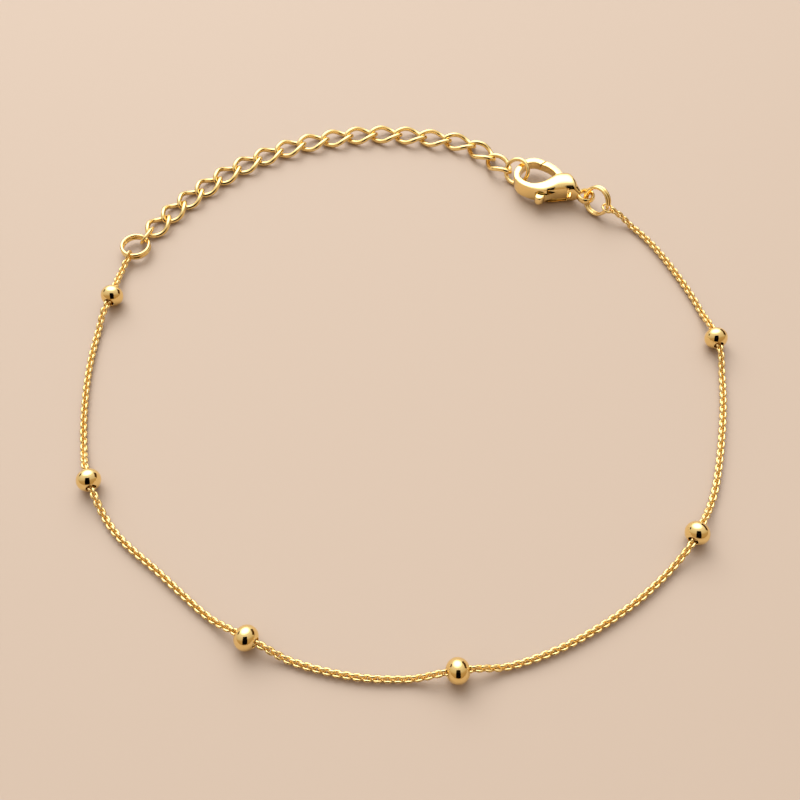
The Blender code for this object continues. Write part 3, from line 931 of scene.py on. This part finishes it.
class BRACELET_OT_extender(bpy.types.Operator):
    """Twists the curb links of the extender and lays them in their run"""

    bl_idname = "bracelet.extender"
    bl_label = "Extender"

    def execute(self, context):
        sizes = context.scene.bracelet_extender
        colours = context.scene.bracelet_colours
        shares = [1 + (sizes.growth - 1) * k / (sizes.count - 1) for k in range(sizes.count)]
        between = [(a + b) / 2 for a, b in zip(shares, shares[1:])]
        first = link_run.length / sum(between)
        bm = bmesh.new()
        spot = 0.0
        for number, share in enumerate(shares, start=1):
            last = number == sizes.count
            centre = link_run.at(spot)
            matrix = placed(
                (centre.x, centre.y, sizes.last_level if last else sizes.level),
                link_run.heading(spot, first / 2),
                drop=-sizes.last_rise if last else 0.0,
            )
            length = first * share + sizes.wire * 2 + sizes.play
            curb_link(bm, length, sizes.width, sizes.wire, sizes.twist, matrix, sizes.swell, sizes.straight)
            if not last:
                spot += first * between[number - 1]
        centre = on_table(SMALL_LINK_PLACE, sizes.small_level)
        matrix = placed(centre, SMALL_LINK_HEADING, SMALL_LINK_ROLL, SMALL_LINK_DROP)
        curb_link(bm, sizes.small_length, sizes.small_width, sizes.small_wire, 0.0, matrix)
        metal = gold(
            "curb link gold", colours.bright, colours.deep,
            smooth=0.08, hazy=0.22, wear_size=2200.0, relief=0.004 * MM,
        )
        finished("curb_links", bm, metal, EXTENDER_NODES)
        return {"FINISHED"}


def section(bm, row, sides=32):
    """The clasp body's section at a row: a circle pulled out to the row's width, height and squareness."""
    inner = Vector((row[0], row[1])) * CLASP_SIZE
    outer = Vector((row[2], row[3])) * CLASP_SIZE
    half_width = (outer - inner).length / 2
    half_height = row[4] * CLASP_THICKNESS / 2
    across = (outer - inner).normalized()
    middle = (inner + outer) / 2
    made = bmesh.ops.create_circle(bm, segments=sides, radius=1.0)
    for vert in made["verts"]:
        x, y = vert.co.x, vert.co.y
        pull = (abs(x) ** row[5] + abs(y) ** row[5]) ** (-1 / row[5])
        spot = middle + across * (x * pull * half_width)
        vert.co = CLASP_FRAME @ Vector((spot.x, spot.y, y * pull * half_height))
    return list({edge for vert in made["verts"] for edge in vert.link_edges})


def plate(bm, outline, height, rounding=0.0, smooth=True):
    """A plate over an outline, drawn as it is or smoothed, with its upper and lower edges rounded."""
    points = [Vector(point) for point in outline]
    if smooth:
        closed = [points[-1], *points, points[0], points[1]]
        line = []
        for a, b, c, d in zip(closed, closed[1:], closed[2:], closed[3:]):
            line += [spline(a, b, c, d, k / 4) for k in range(4)]
        points = line
    low = [bm.verts.new(clasp_point(x, y, -height / 2)) for x, y in points]
    face = bm.faces.new(low)
    up = bmesh.ops.extrude_face_region(bm, geom=[face])
    top = [v for v in up["geom"] if isinstance(v, bmesh.types.BMVert)]
    bmesh.ops.translate(bm, verts=top, vec=(0.0, 0.0, height))
    if rounding:
        bm.normal_update()
        flat = [f for f in bm.faces if abs(f.normal.z) > 0.9]
        edges = list({e for f in flat for e in f.edges})
        bmesh.ops.bevel(bm, geom=edges, offset=rounding, segments=3, profile=0.5, affect="EDGES", material=-1)


def post(bm, diameter, length):
    bmesh.ops.create_cone(
        bm,
        cap_ends=True,
        segments=32,
        radius1=diameter / 2,
        radius2=diameter / 2,
        depth=length,
        matrix=Matrix.Translation(clasp_point(*PIVOT, 0.0)),
    )


def solid(name, build, *values):
    """A mesh that build draws, to be cut or joined with."""
    bm = bmesh.new()
    build(bm, *values)
    bmesh.ops.recalc_face_normals(bm, faces=bm.faces)
    data = bpy.data.meshes.new(name)
    bm.to_mesh(data)
    bm.free()
    made = bpy.data.objects.new(name, data)
    bpy.context.scene.collection.objects.link(made)
    return made


def combined(base, steps):
    """The base after each tool is joined to it or cut from it, as a bmesh; the tools are removed."""
    for operation, tool in steps:
        step = base.modifiers.new(tool.name, "BOOLEAN")
        step.operation = operation
        step.solver = "EXACT"
        step.object = tool
    held = base.evaluated_get(bpy.context.evaluated_depsgraph_get())
    bm = bmesh.new()
    bm.from_mesh(held.to_mesh())
    for made in (base, *[tool for _, tool in steps]):
        data = made.data
        bpy.data.objects.remove(made)
        bpy.data.meshes.remove(data)
    bmesh.ops.remove_doubles(bm, verts=bm.verts, dist=0.001 * MM)
    return bm


def hook_and_body(bm):
    rows = through([Vector(row) for row in BODY_ROWS], 4)
    loops = [section(bm, row) for row in rows]
    for a, b in zip(loops, loops[1:]):
        bmesh.ops.bridge_loops(bm, edges=a + b)
    bmesh.ops.edgeloop_fill(bm, edges=loops[0])
    bmesh.ops.edgeloop_fill(bm, edges=loops[-1])


def eye(bm, sizes):
    """The eye's ring, drawn out in height to meet the neck."""
    middle = clasp_point(*EYE_PLACE, 0.0)
    verts = torus(bm, sizes.eye_width, sizes.eye_wire, 40, 14, Matrix.Translation(middle))
    bmesh.ops.scale(bm, vec=(1, 1, 1.6), space=Matrix.Translation(-middle), verts=verts)


class BRACELET_OT_clasp(bpy.types.Operator):
    """Forms the lobster clasp's hook and body, with its eye and its slots"""

    bl_idname = "bracelet.clasp"
    bl_label = "Clasp Body"

    def execute(self, context):
        sizes = context.scene.bracelet_clasp
        colours = context.scene.bracelet_colours
        bm = combined(
            solid("body", hook_and_body),
            (
                ("UNION", solid("eye", eye, sizes)),
                ("DIFFERENCE", solid("slot", plate, SLOT_OUTLINE, sizes.slot, 0.0, False)),
                ("DIFFERENCE", solid("window", plate, WINDOW_OUTLINE, sizes.window, 0.0, False)),
                ("DIFFERENCE", solid("nub slot", plate, NUB_SLOT_OUTLINE, sizes.nub_slot, 0.0, False)),
                ("DIFFERENCE", solid("pin seat", post, sizes.pin + PIN_PLAY, PIN_SEAT)),
            ),
        )
        metal = gold(
            "clasp gold", colours.bright, colours.deep,
            smooth=0.07, hazy=0.2, wear_size=1500.0, relief=0.004 * MM,
        )
        finished("clasp_hook_and_body", bm, metal, ["clasp_body"], sharp=32.0)
        return {"FINISHED"}


class BRACELET_OT_lever(bpy.types.Operator):
    """Forms the clasp's lever: its gate, its middle and the nub that opens it"""

    bl_idname = "bracelet.lever"
    bl_label = "Clasp Lever"

    def execute(self, context):
        sizes = context.scene.bracelet_clasp
        colours = context.scene.bracelet_colours
        bm = combined(
            solid("lever", plate, PLATE_OUTLINE, sizes.lever, PLATE_ROUNDING, False),
            (
                ("UNION", solid("gate", plate, GATE_OUTLINE, sizes.gate, GATE_ROUNDING, False)),
                ("UNION", solid("nub arm", plate, NUB_ARM_OUTLINE, sizes.nub_arm, 0.0, False)),
                ("UNION", solid("nub", plate, NUB_OUTLINE, sizes.nub, NUB_ROUNDING)),
                ("DIFFERENCE", solid("pin bore", post, sizes.pin + PIN_PLAY, CLASP_THICKNESS * 2)),
            ),
        )
        metal = gold(
            "lever gold", colours.bright, colours.deep,
            smooth=0.08, hazy=0.24, wear_size=1500.0, relief=0.004 * MM,
        )
        finished("clasp_lever_and_nub", bm, metal, ["clasp_lever"], body=LEVER, sharp=32.0)
        return {"FINISHED"}


class BRACELET_OT_pin(bpy.types.Operator):
    """Gives the clasp's pin its metal"""

    bl_idname = "bracelet.pin"
    bl_label = "Clasp Pin"

    def execute(self, context):
        colours = context.scene.bracelet_colours
        metal = gold(
            "pin gold", colours.deep, colours.deep,
            smooth=0.2, hazy=0.4, wear_size=2500.0, relief=0.004 * MM,
        )
        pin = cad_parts["clasp_pin"]
        pin.data.materials.clear()
        pin.data.materials.append(metal)
        return {"FINISHED"}


# Stage


def softbox(name, place, width, height, power, colour):
    """A broad lamp that faces the bracelet."""
    lamp = bpy.data.lights.new(name, "AREA")
    lamp.shape = "RECTANGLE"
    lamp.size = width
    lamp.size_y = height
    lamp.energy = power
    lamp.color = colour
    made = bpy.data.objects.new(name, lamp)
    made.location = place
    made.rotation_euler = (-Vector(place)).to_track_quat("-Z", "Y").to_euler()
    bpy.context.scene.collection.objects.link(made)
    return made


def card(name, place, width, height, material):
    """A plain card that shows only in reflections."""
    bm = bmesh.new()
    bmesh.ops.create_grid(bm, x_segments=1, y_segments=1, size=0.5)
    bmesh.ops.scale(bm, vec=(width, height, 1.0), verts=bm.verts)
    turn = (-Vector(place)).to_track_quat("Z", "Y").to_matrix().to_4x4()
    bmesh.ops.transform(bm, matrix=Matrix.Translation(place) @ turn, verts=bm.verts)
    data = bpy.data.meshes.new(name)
    bm.to_mesh(data)
    bm.free()
    made = bpy.data.objects.new(name, data)
    bpy.context.scene.collection.objects.link(made)
    data.materials.append(material)
    made.visible_camera = False
    made.visible_diffuse = False
    made.visible_shadow = False
    return made


def studio_air():
    """The soft studio light all round: a wide white glow high at the back, warm and dimmer in front."""
    world = bpy.data.worlds.new("studio")
    world.use_nodes = True
    nodes, links = world.node_tree.nodes, world.node_tree.links
    air = nodes["Background"]
    look = nodes.new("ShaderNodeTexCoord")
    aim = nodes.new("ShaderNodeVectorMath")
    aim.operation = "DOT_PRODUCT"
    aim.inputs[1].default_value = Vector(GLOW_FROM).normalized()
    glow = nodes.new("ShaderNodeValToRGB")
    glow.color_ramp.interpolation = "EASE"
    stops = (
        (0.0, (0.44, 0.25, 0.09)),
        (0.45, (0.56, 0.39, 0.22)),
        (0.66, (0.8, 0.7, 0.59)),
        (0.86, (1.0, 0.95, 0.9)),
        (0.97, (1.0, 1.0, 1.0)),
    )
    ramp = glow.color_ramp.elements
    while len(ramp) < len(stops):
        ramp.new(0.5)
    for held, (place, colour) in zip(ramp, stops):
        held.position = place
        held.color = (*colour, 1.0)
    span = nodes.new("ShaderNodeMapRange")
    span.inputs["From Min"].default_value = -1.0
    power = nodes.new("ShaderNodeMapRange")
    power.interpolation_type = "SMOOTHSTEP"
    power.inputs["From Min"].default_value = 0.72
    power.inputs["From Max"].default_value = 0.99
    power.inputs["To Min"].default_value = 0.85
    power.inputs["To Max"].default_value = 3.4
    links.new(look.outputs["Generated"], aim.inputs[0])
    links.new(aim.outputs["Value"], span.inputs["Value"])
    links.new(span.outputs["Result"], glow.inputs["Fac"])
    links.new(aim.outputs["Value"], power.inputs["Value"])
    links.new(glow.outputs["Color"], air.inputs["Color"])
    links.new(power.outputs["Result"], air.inputs["Strength"])
    return world


class BRACELET_OT_stage(bpy.types.Operator):
    """Sets the plain pale table, the soft lights and the camera"""

    bl_idname = "bracelet.stage"
    bl_label = "Stage"

    def execute(self, context):
        scene = context.scene
        bm = bmesh.new()
        bmesh.ops.create_grid(bm, x_segments=1, y_segments=1, size=1.5)
        data = bpy.data.meshes.new("table")
        bm.to_mesh(data)
        bm.free()
        table = bpy.data.objects.new("table", data)
        scene.collection.objects.link(table)
        cloth = bpy.data.materials.new("pale table")
        cloth.use_nodes = True
        shader = cloth.node_tree.nodes["Principled BSDF"]
        shader.inputs["Base Color"].default_value = (*scene.bracelet_colours.floor, 1.0)
        shader.inputs["Roughness"].default_value = 0.6
        data.materials.append(cloth)

        black, brown = bpy.data.materials.new("black card"), bpy.data.materials.new("brown card")
        for paint, shade in ((black, (0.0, 0.0, 0.0)), (brown, (0.09, 0.045, 0.012))):
            paint.use_nodes = True
            shader = paint.node_tree.nodes["Principled BSDF"]
            shader.inputs["Base Color"].default_value = (*shade, 1.0)
            shader.inputs["Specular IOR Level"].default_value = 0.0
        card("black card behind the camera", (0.0, -0.2, 0.15), 0.19, 0.32, black)
        card("brown card at the right", (0.335, 0.218, 0.085), 0.36, 0.2, brown)
        card("brown card at the left", (-0.36, 0.165, 0.11), 0.15, 0.1, brown)

        lamp = softbox(
            "window", place=(-0.16, 0.42, 0.4), width=0.5, height=0.4, power=1.9, colour=(1.0, 0.97, 0.93)
        )
        lamp.visible_glossy = False
        scene.world = studio_air()

        lens = bpy.data.cameras.new("camera")
        lens.lens = CAMERA_LENS
        lens.sensor_width = 36.0
        lens.clip_start = 0.005
        lens.clip_end = 10.0
        camera = bpy.data.objects.new("camera", lens)
        camera.location = CAMERA_PLACE
        camera.rotation_euler = (CAMERA_TILT, 0.0, 0.0)
        scene.collection.objects.link(camera)
        scene.camera = camera
        scene.view_settings.view_transform = "Standard"
        return {"FINISHED"}


class BRACELET_PT_panel(bpy.types.Panel):
    """The bracelet's sizes, colours and pieces"""

    bl_idname = "BRACELET_PT_panel"
    bl_label = "Bead Chain Bracelet"
    bl_space_type = "VIEW_3D"
    bl_region_type = "UI"
    bl_category = "Bracelet"

    def draw(self, context):
        for name in GROUPS:
            box = self.layout.box()
            held = getattr(context.scene, name)
            for prop in held.__annotations__:
                box.prop(held, prop)
        for made in OPERATORS:
            self.layout.operator(made.bl_idname)


GROUPS = {
    "bracelet_beads": BeadSizes,
    "bracelet_chain": ChainSizes,
    "bracelet_rings": RingSizes,
    "bracelet_extender": ExtenderSizes,
    "bracelet_clasp": ClaspSizes,
    "bracelet_colours": GoldColours,
}
OPERATORS = (
    BRACELET_OT_fine_chain,
    BRACELET_OT_beads,
    BRACELET_OT_rings,
    BRACELET_OT_extender,
    BRACELET_OT_clasp,
    BRACELET_OT_lever,
    BRACELET_OT_pin,
    BRACELET_OT_stage,
)


def register():
    for made in (*GROUPS.values(), *OPERATORS, BRACELET_PT_panel):
        bpy.utils.register_class(made)
    for name, kind in GROUPS.items():
        setattr(bpy.types.Scene, name, PointerProperty(type=kind))


def unregister():
    for name in GROUPS:
        delattr(bpy.types.Scene, name)
    for made in (BRACELET_PT_panel, *reversed(OPERATORS), *reversed(GROUPS.values())):
        bpy.utils.unregister_class(made)


def main():
    register()
    bpy.ops.bracelet.fine_chain()
    bpy.ops.bracelet.beads()
    bpy.ops.bracelet.rings()
    bpy.ops.bracelet.extender()
    bpy.ops.bracelet.clasp()
    bpy.ops.bracelet.lever()
    bpy.ops.bracelet.pin()
    bpy.ops.bracelet.stage()


if __name__ == "__main__":
    main()
